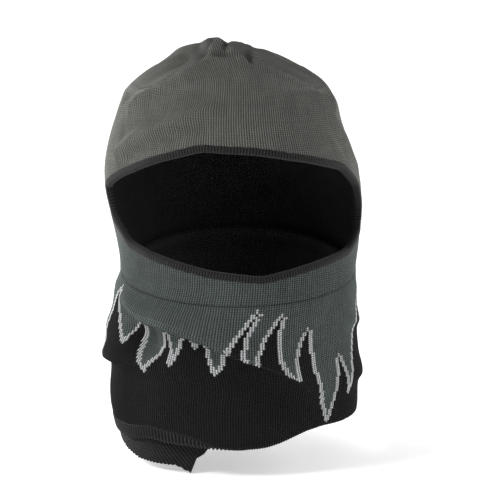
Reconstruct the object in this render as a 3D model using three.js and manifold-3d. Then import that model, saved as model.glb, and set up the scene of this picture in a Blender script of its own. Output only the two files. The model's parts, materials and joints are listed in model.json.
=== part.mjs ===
// Balaclava: a two-layer fine-knit hood with an open face and a neck tube, in the shape it takes on a head.
//
// Frame: millimetres, +Z up. The origin is the middle of the head, level with the eyes.
// The face looks along -Y and the wearer's left side is +X.
// Every layer is a slice of one bag-shaped surface, so hood, neck tube, ribs and lining follow each other.
import * as THREE from 'three';
import { mergeVertices } from 'three/addons/utils/BufferGeometryUtils.js';
import Module from 'manifold-3d';

const wasm = await Module();
wasm.setup();

// ---- Driving dimensions, millimetres unless a name says degrees ----

const OUTER_THICKNESS = 1.8;
const LINING_THICKNESS = 1.4;
const GAP = 0.3;

// Rows of the bag from bottom to top: height, sway of the row's middle to +X, its shift to +Y, and from there
// the half width, the reach to the front and the reach to the back.
const SECTIONS = [
  [-190, 0, 1, 82, 74, 73],
  [-165, 0, 1, 83.5, 75, 73],
  [-150, 0, 1, 84.5, 76, 73.5],
  [-136, 0, 0, 87, 79, 73],
  [-122, 0, 0, 87.5, 82, 71.5],
  [-108, 1, 0, 87.5, 85, 70.5],
  [-95, -1.5, 0, 88.5, 88, 71],
  [-80, -1, 0, 86.5, 91, 73.5],
  [-66, 0, 0, 85.2, 92, 77],
  [-52, 1.5, 0, 84.5, 91.5, 82],
  [-40, 3, 0, 82, 91, 86.5],
  [-22, 3, 0, 83.5, 92, 94],
  [0, 1.2, 0, 87, 96, 100],
  [22, -0.8, 0, 88.5, 99, 103],
  [44, -3, 0, 84, 98.5, 104],
  [64, -4, 0, 78, 94, 101],
  [80, -3.5, 0, 72.7, 86, 94],
  [92, -3, -2, 62.5, 71, 82],
  [102, -5.5, -6, 47.5, 50, 66],
  [109, -7.5, -12, 33, 32, 47],
  [113, -9, -18, 17, 16, 25],
  [114.5, -10, -22, 0, 0, 0],
];
const COLUMNS = 36;
const ROWS = SECTIONS.length - 1;

// The crown: four gathers between the lobes, at these angles from the front.
const DART_ANGLES = [-40, 40, 140, -140];
const DART_DEPTH = 2.4;
const DART_TOP_ROW = 20;
const DART_FOOT_ROW = 16;
const DART_HALF_ANGLE = 11;

// The cloth bunches up where the four gathers meet: how high, and how far out.
const PEAK_HEIGHT = 7;
const PEAK_WIDTH = 15;

// The loose cloth of the neck: one long fold that falls from the wearer's right cheek across the front.
const FOLD_HEIGHT = 7;
const FOLD_WIDTH = 15;
const FOLD_MIDDLE = -80;
const FOLD_SLOPE_PER_DEGREE = -0.5;
const FOLD_ANGLE = -8;
const FOLD_REACH_DEGREES = 45;

// Seams and edges: tilted planes, given by their heights at this reach to the front and to the back of the
// origin, and by how much higher they are at this reach to +X.
const PLANE_REACH = 100;
const NECK_SEAM = { front: -53, back: -24, side: 0 };
const HEM_SEAM = { front: -142, back: -134, side: 4 };
const HEM_EDGE = { front: -151, back: -142, side: 4 };
const LINING_EDGE = { front: -162, back: -148, side: 8 };
const TOP = { front: 300, back: 300, side: 0 };
const SEAM_GAP = 2.8;
const SEAM_THREAD = 1.4;
const SEAM_PROUD = 0.6;
const SEAM_DEPTH = 1.2;

// The face opening, counter-clockwise as the face is looked at: angle from the front in degrees, and height,
// of the outer edge of the binding.
const OPENING = [
  [-77, 22],
  [-77, -2],
  [-61, -20],
  [-38, -27],
  [-14, -34],
  [11, -38],
  [38, -31],
  [64, -25],
  [80, -13],
  [83, 4],
  [75, 24],
  [60, 38],
  [38, 45],
  [12, 51],
  [-12, 53],
  [-34, 45],
  [-57, 34],
];
const OPENING_MIDDLE = 8;
const OPENING_STEPS = 60;
const BINDING_WIDTH = 5;
const BINDING_THICKNESS = 4.6;

const STITCH_WIDTH = 1.2;
const STITCH_HEIGHT = 0.6;
const STITCH_LIFT = 0.6;
const BROW_STITCH = { start: -62, end: 68, steps: 26, front: 77, side: 68 };

const LABEL = { width: 22, height: 34, thickness: 0.6, top: -62 };

// ---- The bag-shaped surface ----

// How steeply the side rises at a row, as the unit direction [outwards, upwards] along the rows.
function slopeAt(row) {
  const low = SECTIONS[Math.max(row - 1, 0)];
  const high = SECTIONS[Math.min(row + 1, ROWS)];
  const rise = high[0] - low[0];
  const run = high[3] - low[3];
  const length = Math.hypot(rise, run);
  return [run / length, rise / length];
}

// 1 at the middle of a bell and 0 far from it.
function bell(distance, width) {
  return Math.exp(-((distance / width) ** 2));
}

// An angle brought between -180 and 180 degrees.
function wrapped(angle) {
  return THREE.MathUtils.euclideanModulo(angle + 180, 360) - 180;
}

// How far the cloth stands out of the plain bag at an angle and height: the neck fold.
function foldAt(angle, height) {
  const turn = wrapped(angle - FOLD_ANGLE);
  const middle = FOLD_MIDDLE + FOLD_SLOPE_PER_DEGREE * turn;
  return FOLD_HEIGHT * bell(height - middle, FOLD_WIDTH) * bell(turn, FOLD_REACH_DEGREES);
}

// How far the cloth is drawn in at the crown's gathers.
function dartAt(angle, row) {
  const share = (row - DART_FOOT_ROW) / (ROWS - DART_FOOT_ROW);
  if (share < 0) return 0;
  const bells = DART_ANGLES.map((dart) => bell(wrapped(angle - dart), DART_HALF_ANGLE));
  return DART_DEPTH * Math.sin(Math.PI * share) * Math.max(...bells);
}

// A point of one row: angle in degrees from the front towards +X, and depth under the surface.
function rowPoint(angle, row, depth) {
  const [height, sway, shift, side, front, back] = SECTIONS[row];
  const [outwards, upwards] = slopeAt(row);
  const inward = depth + dartAt(angle, row) - foldAt(angle, height);
  const turn = THREE.MathUtils.degToRad(angle);
  const reach = Math.cos(turn) > 0 ? front : back;
  const peak = PEAK_HEIGHT * bell(side, PEAK_WIDTH) * (row > DART_FOOT_ROW ? 1 : 0);
  return new THREE.Vector3(
    sway + Math.max(side - inward * upwards, 0) * Math.sin(turn),
    shift - Math.max(reach - inward * upwards, 0) * Math.cos(turn),
    height + peak + inward * outwards,
  );
}

// A point between rows: place is a row number with a fraction, and the cloth runs straight from row to row.
function surfacePoint(angle, place, depth) {
  const row = Math.min(Math.floor(place), ROWS - 1);
  return rowPoint(angle, row, depth).lerp(rowPoint(angle, row + 1, depth), place - row);
}

// The place between rows that has a given height.
function placeAtHeight(height) {
  const row = Math.max(SECTIONS.findIndex((section) => section[0] > height) - 1, 0);
  return row + (height - SECTIONS[row][0]) / (SECTIONS[row + 1][0] - SECTIONS[row][0]);
}

function pointAtHeight(angle, height, depth) {
  return surfacePoint(angle, placeAtHeight(height), depth);
}

// ---- Closed meshes from rings of points, and solids from them ----

// Joins rings of equal length into a closed body. Ends are a pole each, or the last ring meets the first.
function bodyFromRings(rings, poles) {
  const count = rings[0].length;
  const points = rings.flat();
  const faces = [];
  const pairs = poles ? rings.length - 1 : rings.length;
  for (let row = 0; row < pairs; row += 1) {
    const next = (row + 1) % rings.length;
    for (let column = 0; column < count; column += 1) {
      const after = (column + 1) % count;
      const corners = [row * count + column, row * count + after, next * count + after, next * count + column];
      faces.push(corners[0], corners[1], corners[2]);
      faces.push(corners[0], corners[2], corners[3]);
    }
  }
  if (poles) {
    const top = (rings.length - 1) * count;
    points.push(poles[0], poles[1]);
    for (let column = 0; column < count; column += 1) {
      const after = (column + 1) % count;
      faces.push(points.length - 2, after, column);
      faces.push(points.length - 1, top + column, top + after);
    }
  }
  const geometry = new THREE.BufferGeometry().setFromPoints(points);
  geometry.setIndex(faces);
  return geometry;
}

function solidFrom(geometry) {
  const plain = geometry.clone();
  plain.deleteAttribute('normal');
  plain.deleteAttribute('uv');
  const merged = mergeVertices(plain, 1e-4);
  const solid = new wasm.Manifold(
    new wasm.Mesh({
      numProp: 3,
      vertProperties: merged.attributes.position.array,
      triVerts: new Uint32Array(merged.index.array),
    }),
  );
  return solid;
}

function geometryFrom(solid) {
  const mesh = solid.getMesh();
  const geometry = new THREE.BufferGeometry();
  geometry.setAttribute('position', new THREE.BufferAttribute(mesh.vertProperties, 3));
  geometry.setIndex(new THREE.BufferAttribute(mesh.triVerts, 1));
  geometry.computeVertexNormals();
  return geometry;
}

// The whole bag as a solid, its surface set in by a depth.
function bagSolid(depth) {
  const rings = [];
  for (let row = 0; row < ROWS; row += 1) {
    const ring = [];
    for (let column = 0; column < COLUMNS; column += 1) {
      ring.push(rowPoint((360 * column) / COLUMNS, row, depth));
    }
    rings.push(ring);
  }
  const bottom = new THREE.Vector3(0, 0, SECTIONS[0][0]);
  const apex = rowPoint(0, ROWS, depth);
  return solidFrom(bodyFromRings(rings, [bottom, apex]));
}

// The height of a tilted plane at a place.
function planeHeight(plane, x, y) {
  const middle = (plane.front + plane.back) / 2;
  return middle + (((plane.back - plane.front) / 2) * y + plane.side * x) / PLANE_REACH;
}

// The space between two tilted planes.
function slabSolid(low, high) {
  const box = new THREE.BoxGeometry(400, 400, 2);
  const corners = box.attributes.position;
  for (let index = 0; index < corners.count; index += 1) {
    const plane = corners.getZ(index) < 0 ? low : high;
    corners.setZ(index, planeHeight(plane, corners.getX(index), corners.getY(index)));
  }
  return solidFrom(box);
}

function shifted(plane, rise) {
  return { front: plane.front + rise, back: plane.back + rise, side: plane.side };
}

// Where a tilted plane meets the bag at an angle: each pass takes the height from the last pass's place.
function heightOnPlane(plane, angle) {
  let height = planeHeight(plane, 0, 0);
  for (let pass = 0; pass < 6; pass += 1) {
    const point = pointAtHeight(angle, height, 0);
    height = planeHeight(plane, point.x, point.y);
  }
  return height;
}

// ---- The face opening ----

const openingCurve = new THREE.CatmullRomCurve3(
  OPENING.map(([angle, height]) => new THREE.Vector3(angle, height, 0)),
  true,
  'centripetal',
);

// Places round the opening, as angle and height, moved towards its middle by an inset measured on the cloth.
// The middle lies to the left of the outline's direction.
function openingPlaces(inset) {
  const degreesPerMillimetre = 360 / (2 * Math.PI * 92);
  const places = [];
  for (let step = 0; step < OPENING_STEPS; step += 1) {
    const share = step / OPENING_STEPS;
    const point = openingCurve.getPoint(share);
    const tangent = openingCurve.getTangent(share);
    const along = new THREE.Vector2(tangent.x / degreesPerMillimetre, tangent.y).normalize();
    places.push({
      angle: point.x - along.y * inset * degreesPerMillimetre,
      height: point.y + along.x * inset,
    });
  }
  return places;
}

// A block that runs from inside the head out through the front, with the opening's outline.
function openingBlock(inset) {
  const ringAt = (scale) =>
    openingPlaces(inset).map(({ angle, height }) => {
      const point = pointAtHeight(angle, height, 0);
      return new THREE.Vector3(point.x * scale, point.y * scale, height);
    });
  const inner = new THREE.Vector3(0, -40, OPENING_MIDDLE);
  const outer = new THREE.Vector3(0, -230, OPENING_MIDDLE);
  return solidFrom(bodyFromRings([ringAt(0.5), ringAt(1.8)], [inner, outer]));
}

// The four corners of a band's section: as wide as given, from an outside point down to an inside point.
function sectionRing(outside, inside, along, width) {
  const out = outside.clone().sub(inside).normalize();
  const across = new THREE.Vector3().crossVectors(along, out).setLength(width / 2);
  return [
    inside.clone().add(across),
    inside.clone().sub(across),
    outside.clone().sub(across),
    outside.clone().add(across),
  ];
}

// A closed band that follows a loop of places, with a rectangular section on the cloth.
function bandGeometry(places, width, topDepth, bottomDepth) {
  const outsides = places.map(({ angle, height }) => pointAtHeight(angle, height, topDepth));
  const insides = places.map(({ angle, height }) => pointAtHeight(angle, height, bottomDepth));
  const rings = outsides.map((outside, index) => {
    const before = outsides[(index + places.length - 1) % places.length];
    const after = outsides[(index + 1) % places.length];
    const along = after.clone().sub(before).normalize();
    return sectionRing(outside, insides[index], along, width);
  });
  return bodyFromRings(rings, null);
}

// ---- Sub-parts ----

const outerBag = bagSolid(0);
const outerInside = bagSolid(OUTER_THICKNESS);
const liningBag = bagSolid(OUTER_THICKNESS + GAP);
const liningInside = bagSolid(OUTER_THICKNESS + GAP + LINING_THICKNESS);

function layerBetween(bag, inside, low, high) {
  return bag.subtract(inside).intersect(slabSolid(low, high));
}

// A hood layer ends at the neck seam and is cut back from the binding, which sits in the cut.
function hoodLayer(bag, inside) {
  const whole = layerBetween(bag, inside, shifted(NECK_SEAM, SEAM_GAP / 2), TOP);
  const binding = bindingSolid(BINDING_WIDTH + 2 * GAP, BINDING_THICKNESS + 4);
  return geometryFrom(whole.subtract(openingBlock(BINDING_WIDTH / 2)).subtract(binding));
}

function tubeLayer(bag, inside, lowEdge, highEdge) {
  return geometryFrom(layerBetween(bag, inside, lowEdge, highEdge));
}

// A seam thread all the way round, between the edges of two panels of the outer layer.
function roundSeam(plane) {
  const places = [];
  for (let column = 0; column < COLUMNS; column += 1) {
    const angle = (-360 * column) / COLUMNS;
    places.push({ angle, height: heightOnPlane(plane, angle) });
  }
  return geometryFrom(solidFrom(bandGeometry(places, SEAM_THREAD, -SEAM_PROUD, SEAM_DEPTH)));
}

// The binding's loop, centred on the two layers.
function bindingSolid(width, thickness) {
  const middle = (OUTER_THICKNESS + GAP + LINING_THICKNESS) / 2;
  const places = openingPlaces(BINDING_WIDTH / 2);
  return solidFrom(bandGeometry(places, width, middle - thickness / 2, middle + thickness / 2));
}

// A row of stitches that lies on the cloth: a strip through a list of [angle, place between rows].
function stitchStrip(spots) {
  const low = -STITCH_LIFT;
  const high = -STITCH_LIFT - STITCH_HEIGHT;
  const rings = spots.map(([angle, place], index) => {
    const before = spots[Math.max(index - 1, 0)];
    const after = spots[Math.min(index + 1, spots.length - 1)];
    const along = surfacePoint(...after, low).sub(surfacePoint(...before, low)).normalize();
    return sectionRing(surfacePoint(angle, place, high), surfacePoint(angle, place, low), along, STITCH_WIDTH);
  });
  const middleOf = (ring) => ring.reduce((sum, point) => sum.add(point), new THREE.Vector3()).divideScalar(4);
  const ends = [middleOf(rings[0]), middleOf(rings[rings.length - 1])];
  return geometryFrom(solidFrom(bodyFromRings(rings, ends)));
}

// A crown seam runs down one gather, from row to row of the bag.
function crownSeam(angle) {
  const spots = [];
  for (let row = DART_TOP_ROW; row >= DART_FOOT_ROW; row -= 1) {
    spots.push([angle, row]);
  }
  return stitchStrip(spots);
}

// The stitched line above the opening dips towards the temples, with the square of the angle.
function browStitch() {
  const spots = [];
  for (let step = 0; step <= BROW_STITCH.steps; step += 1) {
    const angle = BROW_STITCH.start + ((BROW_STITCH.end - BROW_STITCH.start) * step) / BROW_STITCH.steps;
    const height = BROW_STITCH.front + (BROW_STITCH.side - BROW_STITCH.front) * (angle / BROW_STITCH.end) ** 2;
    spots.push([angle, placeAtHeight(height)]);
  }
  return stitchStrip(spots);
}

// The care label: a small blank strip sewn inside the neck at the back, just clear of the lining.
function careLabel() {
  const label = new THREE.BoxGeometry(LABEL.width, LABEL.thickness, LABEL.height);
  const depth = OUTER_THICKNESS + GAP + LINING_THICKNESS;
  const top = pointAtHeight(180, LABEL.top, depth);
  const foot = pointAtHeight(180, LABEL.top - LABEL.height, depth);
  const corner = pointAtHeight(180 - 7.5, LABEL.top - LABEL.height, depth);
  label.rotateX(Math.atan2(foot.y - top.y, LABEL.height));
  label.translate(0, Math.min(top.y, corner.y, foot.y) - LABEL.thickness - GAP * 4, LABEL.top - LABEL.height / 2);
  return label;
}

// ---- Materials and assembly ----

function knit(colour, roughness) {
  return new THREE.MeshStandardMaterial({ color: colour, roughness, metalness: 0 });
}

const greyKnit = knit(0x666761, 0.9);
const flameKnit = knit(0x464c4a, 0.9);
const blackKnit = knit(0x1c1c1c, 0.92);
const blackRib = knit(0x2d2d2d, 0.92);
const greyThread = knit(0x555650, 0.8);
const whiteTape = knit(0xd8d6cf, 0.7);

const balaclava = new THREE.Group();

function addPart(name, geometry, material) {
  const mesh = new THREE.Mesh(geometry, material.clone());
  mesh.name = name;
  balaclava.add(mesh);
}

addPart('hood_shell', hoodLayer(outerBag, outerInside), greyKnit);
addPart('hood_lining', hoodLayer(liningBag, liningInside), blackKnit);
addPart(
  'neck_shell',
  tubeLayer(outerBag, outerInside, shifted(HEM_SEAM, SEAM_GAP / 2), shifted(NECK_SEAM, -SEAM_GAP / 2)),
  flameKnit,
);
addPart(
  'neck_lining',
  tubeLayer(liningBag, liningInside, shifted(HEM_SEAM, GAP / 2), shifted(NECK_SEAM, GAP)),
  blackKnit,
);
addPart('hem_rib', tubeLayer(outerBag, outerInside, HEM_EDGE, shifted(HEM_SEAM, -SEAM_GAP / 2)), blackRib);
addPart('lining_rib', tubeLayer(liningBag, liningInside, LINING_EDGE, shifted(HEM_SEAM, -GAP / 2)), blackRib);
addPart('face_binding', geometryFrom(bindingSolid(BINDING_WIDTH, BINDING_THICKNESS)), blackRib);
addPart('neck_seam', roundSeam(NECK_SEAM), greyThread);
addPart('hem_seam', roundSeam(HEM_SEAM), blackRib);
addPart('brow_stitch', browStitch(), greyThread);
DART_ANGLES.forEach((angle, index) => addPart(`crown_seam_${index + 1}`, crownSeam(angle), greyThread));
addPart('care_label', careLabel(), whiteTape);

export default balaclava;
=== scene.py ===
"""A two-layer fine-knit balaclava: hood, neck tube, ribbed edges, seams, linings and a blank label.

Shapes are worked out in millimetres and degrees and turned into metres when a mesh is made.
Angles run round the head from the front (0) towards +X (90), and every layer follows one bag-shaped surface.
"""

import json

import bpy
import numpy as np
from bpy.props import FloatProperty, FloatVectorProperty, PointerProperty
from bpy.types import Operator, Panel, PropertyGroup
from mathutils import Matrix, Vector


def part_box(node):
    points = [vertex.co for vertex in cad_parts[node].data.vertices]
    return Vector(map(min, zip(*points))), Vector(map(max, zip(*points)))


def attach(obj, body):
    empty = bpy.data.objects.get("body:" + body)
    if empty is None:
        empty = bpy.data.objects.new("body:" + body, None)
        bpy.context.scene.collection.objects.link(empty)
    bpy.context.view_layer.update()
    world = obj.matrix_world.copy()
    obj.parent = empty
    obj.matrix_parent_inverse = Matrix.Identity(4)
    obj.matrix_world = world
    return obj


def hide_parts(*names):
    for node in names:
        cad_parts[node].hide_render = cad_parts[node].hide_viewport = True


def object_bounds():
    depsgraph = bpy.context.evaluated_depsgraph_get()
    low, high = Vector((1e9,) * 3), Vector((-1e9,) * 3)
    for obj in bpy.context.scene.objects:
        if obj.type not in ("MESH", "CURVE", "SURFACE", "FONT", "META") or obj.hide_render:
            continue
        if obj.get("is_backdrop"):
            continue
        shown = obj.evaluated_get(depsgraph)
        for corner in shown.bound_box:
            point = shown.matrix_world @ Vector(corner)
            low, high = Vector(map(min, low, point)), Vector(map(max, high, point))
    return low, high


bl_info = {
    "name": "Knitted Balaclava",
    "version": (1, 0, 0),
    "blender": (4, 5, 0),
    "location": "View3D > Sidebar > Balaclava",
    "description": "Builds a two-layer knitted balaclava and its stage",
    "category": "Add Mesh",
}

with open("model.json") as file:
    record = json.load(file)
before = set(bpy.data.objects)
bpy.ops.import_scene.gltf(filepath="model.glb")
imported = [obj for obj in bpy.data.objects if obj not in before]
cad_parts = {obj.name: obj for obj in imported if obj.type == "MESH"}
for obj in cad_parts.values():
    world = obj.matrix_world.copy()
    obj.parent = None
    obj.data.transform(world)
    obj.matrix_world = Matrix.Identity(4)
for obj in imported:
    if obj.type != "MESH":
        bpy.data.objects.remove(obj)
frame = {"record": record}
CAD_LOW, CAD_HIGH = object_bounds()

# ---- The bag-shaped surface, in millimetres ----

# The width that the tables below are drawn for, and the metres in one of their millimetres.
PATTERN_WIDTH = 178.5
MM = (CAD_HIGH.x - CAD_LOW.x) / PATTERN_WIDTH
HEAD = np.array(frame["record"]["mounts"][0]["pos_m"]) / MM

# Rows from bottom to top: height, sway of the row's middle to +X, its shift to +Y, and from there the half
# width, the reach to the front and the reach to the back.
SECTIONS = np.array(
    [
        [-190, 0, 1, 82, 74, 73],
        [-165, 0, 1, 83.5, 75, 73],
        [-150, 0, 1, 84.5, 76, 73.5],
        [-136, 0, 0, 87, 79, 73],
        [-122, 0, 0, 87.5, 82, 71.5],
        [-108, 1, 0, 87.5, 85, 70.5],
        [-95, -1.5, 0, 88.5, 88, 71],
        [-80, -1, 0, 86.5, 91, 73.5],
        [-66, 0, 0, 85.2, 92, 77],
        [-52, 1.5, 0, 84.5, 91.5, 82],
        [-40, 3, 0, 82, 91, 86.5],
        [-22, 3, 0, 83.5, 92, 94],
        [0, 1.2, 0, 87, 96, 100],
        [22, -0.8, 0, 88.5, 99, 103],
        [44, -3, 0, 84, 98.5, 104],
        [64, -4, 0, 78, 94, 101],
        [80, -3.5, 0, 72.7, 86, 94],
        [92, -3, -2, 62.5, 71, 82],
        [102, -5.5, -6, 47.5, 50, 66],
        [109, -7.5, -12, 33, 32, 47],
        [113, -9, -18, 17, 16, 25],
        [114.5, -10, -22, 0, 0, 0],
    ]
)
TOP_ROW = len(SECTIONS) - 1

# Millimetres round the bag to a degree, near enough for outlines, and samples to each point of a crease's line.
MM_PER_DEGREE = 1.6
FULL_TURN = 360.0
LINE_SAMPLES = 14

# Where tilted planes cut the bag: height 100 mm to the front, 100 mm to the back, and rise per 100 mm to +X.
NECK_SEAM = (-53, -24, 0)
PLANE_REACH = 100
SEAM_HALF_GAP = 0.35

# The face opening, counter-clockwise as the face is looked at: angle and height of the binding's outer edge.
OPENING = [
    (-77, 22),
    (-77, -2),
    (-61, -20),
    (-38, -27),
    (-14, -34),
    (11, -38),
    (38, -31),
    (64, -25),
    (80, -13),
    (83, 4),
    (75, 24),
    (60, 38),
    (38, 45),
    (12, 51),
    (-12, 53),
    (-34, 45),
    (-57, 34),
]
OPENING_MIDDLE = 8
OPENING_ROUNDING = 5

# The crown's four gathers: (height, angle) down each from the crown's middle.
GATHERS = [
    [(113, -14), (103, -22), (94, -32), (87, -41), (75, -54)],
    [(113, 13), (105, 24), (97, 40), (86, 55), (73, 64)],
    [(113, 140), (100, 140), (90, 140), (76, 142)],
    [(113, -140), (100, -140), (90, -140), (76, -142)],
]
# The height of the gathers' feet, the crease's depth and width, and the axis and least radius that it is measured by.
GATHER_FOOT = 80
GATHER_DEPTH = 1.3
GATHER_CREASE = 2.2
GATHER_AXIS_Y = -10
LEAST_RADIUS = 12
# Beside a crease: reach, distance to its fuller side and width of two swellings, and the puckers' reach, width, and
# radians per millimetre up and across.
GATHER_LOBES = [(1.5, 6, 5.5), (0.6, -7, 6)]
PUCKER_REACH = 0.35
PUCKER_WIDTH = 6
PUCKER_UP = 1.15
PUCKER_ACROSS = 0.25
# The middle angle of each lobe between gathers: front, left, right.
LOBE_MIDDLES = (5, 102, -97)
# Heights between which the gathers grow, the wales draw together, and their relief fades.
GATHER_RISE = (76, 94)
WALES_NARROW = (76, 102)
WALES_FADE = (74, 92)

# The hood's grey is painted darker towards the neck's between these heights:
# painted shade where the cloth faces down.
CHIN_TOP = 20
CHIN_FOOT = -36

# Soft ridges (+) and creases (-) of the hood: reach, width, and [angle, height] along each.
HOOD_CREASES = [
    (1.4, 5, [(-50, 106), (-66, 97), (-80, 84)]),
    (-3.0, 13, [(-90, 100), (-95, 84)]),
    (-2.2, 4.5, [(-36, 104), (-52, 95), (-68, 80)]),
    (3.2, 6, [(-20, 99), (-38, 90), (-55, 74)]),
    (-1.6, 6, [(-12, 82), (-36, 72), (-58, 58)]),
    (3.8, 5.5, [(-8, 72), (-22, 67), (-46, 55), (-60, 44)]),
    (-2.6, 4.5, [(-12, 62), (-34, 54), (-52, 43)]),
    (2.4, 4, [(40, 110), (50, 104.5), (62, 97), (65, 90), (68, 74)]),
    (-2.2, 6, [(62, 109), (72, 103), (82, 95), (85, 84)]),
    (1.4, 6, [(66, 66), (76, 50), (84, 34)]),
    (-1.0, 5, [(52, 72), (60, 58), (66, 44)]),
    (-1.8, 14, [(-92, 66), (-98, 40), (-96, 18)]),
    (1.6, 8, [(150, 20), (175, 4), (-165, -14)]),
    (-1.2, 5, [(160, 0), (-178, -12), (-158, -24)]),
]

# The bunched crown: x, y, reach, and half width across and front to back of each swelling or dent.
CROWN_LUMPS = [
    (-13, -28, 5.0, 8, 15),
    (3, -33, 3.0, 7.5, 14),
    (-5, -34, -1.6, 2.6, 9),
    (-5, -46, -5.0, 9, 3.2),
    (-4, -54, 1.4, 15, 6),
    (12, -46, -3.6, 3.2, 7),
    (22, -40, 2.0, 7, 9),
    (20, 12, -3.4, 19, 19),
    (-29, -16, 2.8, 12, 12),
]

# Waves round the crown's middle: reach, count, twist, start, and the radius and width of their ring.
CROWN_WAVES = [(0.35, 4, 0.32, 0.9, 8, 6.5), (0.4, 7, -0.5, 0, 14, 7)]
# Heights between which the swellings come in, and how near the crown's middle the gathers fade.
CROWN_TOP = (86, 98)
CROWN_FADE = 22

# Heights between which the hood's slow waves start.
HOOD_WAVES = (-60, -20)

# The stitched line above the opening: (angle, height), and how deep and how wide it presses in.
BROW_LINE = [(-62, 70), (-40, 74), (-18, 76), (5, 76.5), (30, 75.5), (50, 73), (68, 69)]
BROW_CREASE = 0.2
BROW_WIDTH = 1.3

# The hollow at the main fold's start: its depth, middle angle and width in degrees, its height there as (angle, height,
# slope per degree), and its reach up and down.
POCKET_DEPTH = 11
POCKET_ANGLE = -46
POCKET_SPAN = 12
POCKET_LINE = (-48, -79, -0.35)
POCKET_REACH = 10

# Cloth drawn in all along under the main fold: how far below the lip, which is also its reach, and how deep.
UNDER_FOLD = 12
DRAWN_IN = 4.0

# The main fold of the neck cloth: (angle, height of its lip), (angle, strength), its widths above and below the lip,
# and the width over which its turns are rounded.
FOLD_LIP = [(-62, -56), (-55, -60), (-41, -67), (-30, -69), (-20, -72.5), (-11, -76.5), (-3, -82), (4, -86.5),
            (14, -93), (21, -98.5), (29, -105), (37, -114), (50, -124)]
FOLD_STRENGTH = [(-68, 0), (-60, 0.4), (-52, 0.8), (-44, 1), (-12, 1), (4, 0.92), (14, 0.7), (24, 0.45),
                 (32, 0.25), (42, 0.1), (52, 0)]
FOLD_WIDTHS = (15, 2.6)
FOLD_ROUNDING = 1.8

# Lengths over which the folds come in below the seam and end above the foot, the share of the slow waves that the
# neck takes, and what levels its outward directions.
HANG_LENGTH = 8
FOOT_FADE = 10
NECK_WAVES = 0.8
LEVELLED = (1, 1, 0.4)

# Softer folds, first the bulge low on the wearer's right: reach, tuck, widths above and below, lip and strength.
SOFT_FOLDS = [
    (4.2, 3.4, 9, 2.6, [(-130, -106), (-100, -104), (-84, -102), (-70, -100.5), (-60, -100), (-47, -97), (-35, -96)],
     [(-150, 0), (-120, 0.4), (-100, 0.85), (-84, 1), (-66, 0.9), (-54, 0.6), (-42, 0.25), (-34, 0)]),
    (2.6, 0, 10, 9, [(-112, -82), (-90, -80), (-68, -78)], [(-116, 0), (-98, 1), (-80, 1), (-66, 0)]),
    (3.4, 2.0, 12, 4, [(60, -70), (90, -78), (120, -84), (150, -80)],
     [(48, 0), (70, 0.6), (100, 1), (130, 0.8), (155, 0)]),
    (3.6, 2.6, 12, 4, [(130, -104), (160, -98), (180, -95), (-160, -90)],
     [(110, 0), (150, 1), (180, 1), (-160, 0.7), (-140, 0)]),
    (2.8, 2.0, 10, 4, [(70, -112), (95, -116), (120, -112)], [(58, 0), (80, 0.8), (100, 1), (125, 0)]),
    (2.8, 1.8, 12, 4, [(-160, -74), (-130, -68), (-105, -72)], [(-172, 0), (-140, 1), (-115, 0.8), (-98, 0)]),
]

# The neck's foot: (angle, height of its lowest line) and (angle, length of cloth turned under there).
HEM_LINE = [(-160, -143), (-120, -144), (-90, -149.5), (-70, -151.5), (-57, -151.5), (-41, -148), (-32, -149.5),
            (-19, -150.5), (-8, -151.5), (4, -152), (15, -151), (22, -148.5), (35, -142), (45, -140.5),
            (57, -141), (84, -142), (110, -140), (140, -140), (180, -142)]
HEM_TURNED = [(-60, 0), (-44, 0.5), (-32, 1.6), (-23, 3.4), (-15, 6), (-9, 9.5), (4, 13), (20, 16), (90, 16),
              (115, 12), (140, 5), (158, 0), (180, 0)]
RIB_WIDTH = 9.5
ROLL_RADIUS = 2.6

# The lining band's lower edge, which hangs out only low on the wearer's right: (angle, height).
LINING_LINE = [(-150, -143), (-120, -147), (-90, -154), (-75, -159.5), (-60, -163.5), (-53, -165.5), (-42, -166),
               (-30, -166), (-22.5, -171), (-19.5, -161), (-15, -157), (-12, -152), (-5, -146), (10, -142),
               (30, -134), (60, -130), (90, -130), (120, -130), (150, -134), (180, -139)]
LINING_TOP = -128

# The linings: clear room between layers, how far the neck's lining laps behind the hood's, how much of an outer fold
# it follows and from how far below, and how far it stands back behind a turned-under hem and between which heights.
GAP = 0.3
LINING_LAP = 2.5
LINING_FOLLOWS = 1.05
TUCKS_BELOW = (0, 3, 6, 9)
HEM_RECESS = (0.7, 5.4)
RECESS_HEIGHTS = (-116, -136)

# The knit: columns of stitches round the head, millimetres per course, and courses of the neck.
WALES = 312
COURSE = 1.4
NECK_ROWS = 74
LINING_COURSES = 56

# Mesh columns round the head, and mesh rows: of the hood's layers below and above the opening, and of the rest.
COLUMNS = 2 * WALES
LINING_COLUMNS = 208
HOOD_ROWS = (13, 62)
HOOD_LINING_ROWS = (6, 34)
NECK_LINING_ROWS = 41
LINING_BAND_ROWS = 27
HEM_BAND_ROWS = 11

# The ribs round the hem and the lining's band, the band's slant in ribs per millimetre, and the columns of each rib.
HEM_RIBS = 196
LINING_RIBS = 168
LINING_SLANT = 0.27
STEPS_PER_RIB = 4
HEM_RIB_HEIGHT = 0.8
LINING_RIB_HEIGHT = 0.9

# The binding's section, how far its middle lies inside the opening's outline, and the pitch and height of its ribs.
BINDING_WIDTH = 5.2
BINDING_HEIGHT = 4.8
BINDING_INSET = BINDING_WIDTH / 2
BINDING_RIB = 2.1
BINDING_SWELL = 0.16

# The hem's thread: how deep it sinks in, its half width, half height and sides.
HEM_THREAD_SINK = 0.7
HEM_THREAD = (0.55, 0.5, 8)

# Rows of stitches: lift off the hood, pitch, length and radius of a stitch, and its slant in degrees.
NECK_STITCH = (-0.55, 1.9, 2.1, 0.42, 24)
BROW_STITCH = (-0.1, 2.9, 2.0, 0.32, 0)
CROWN_STITCH = (-0.12, 2.6, 1.9, 0.34, 60)

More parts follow.
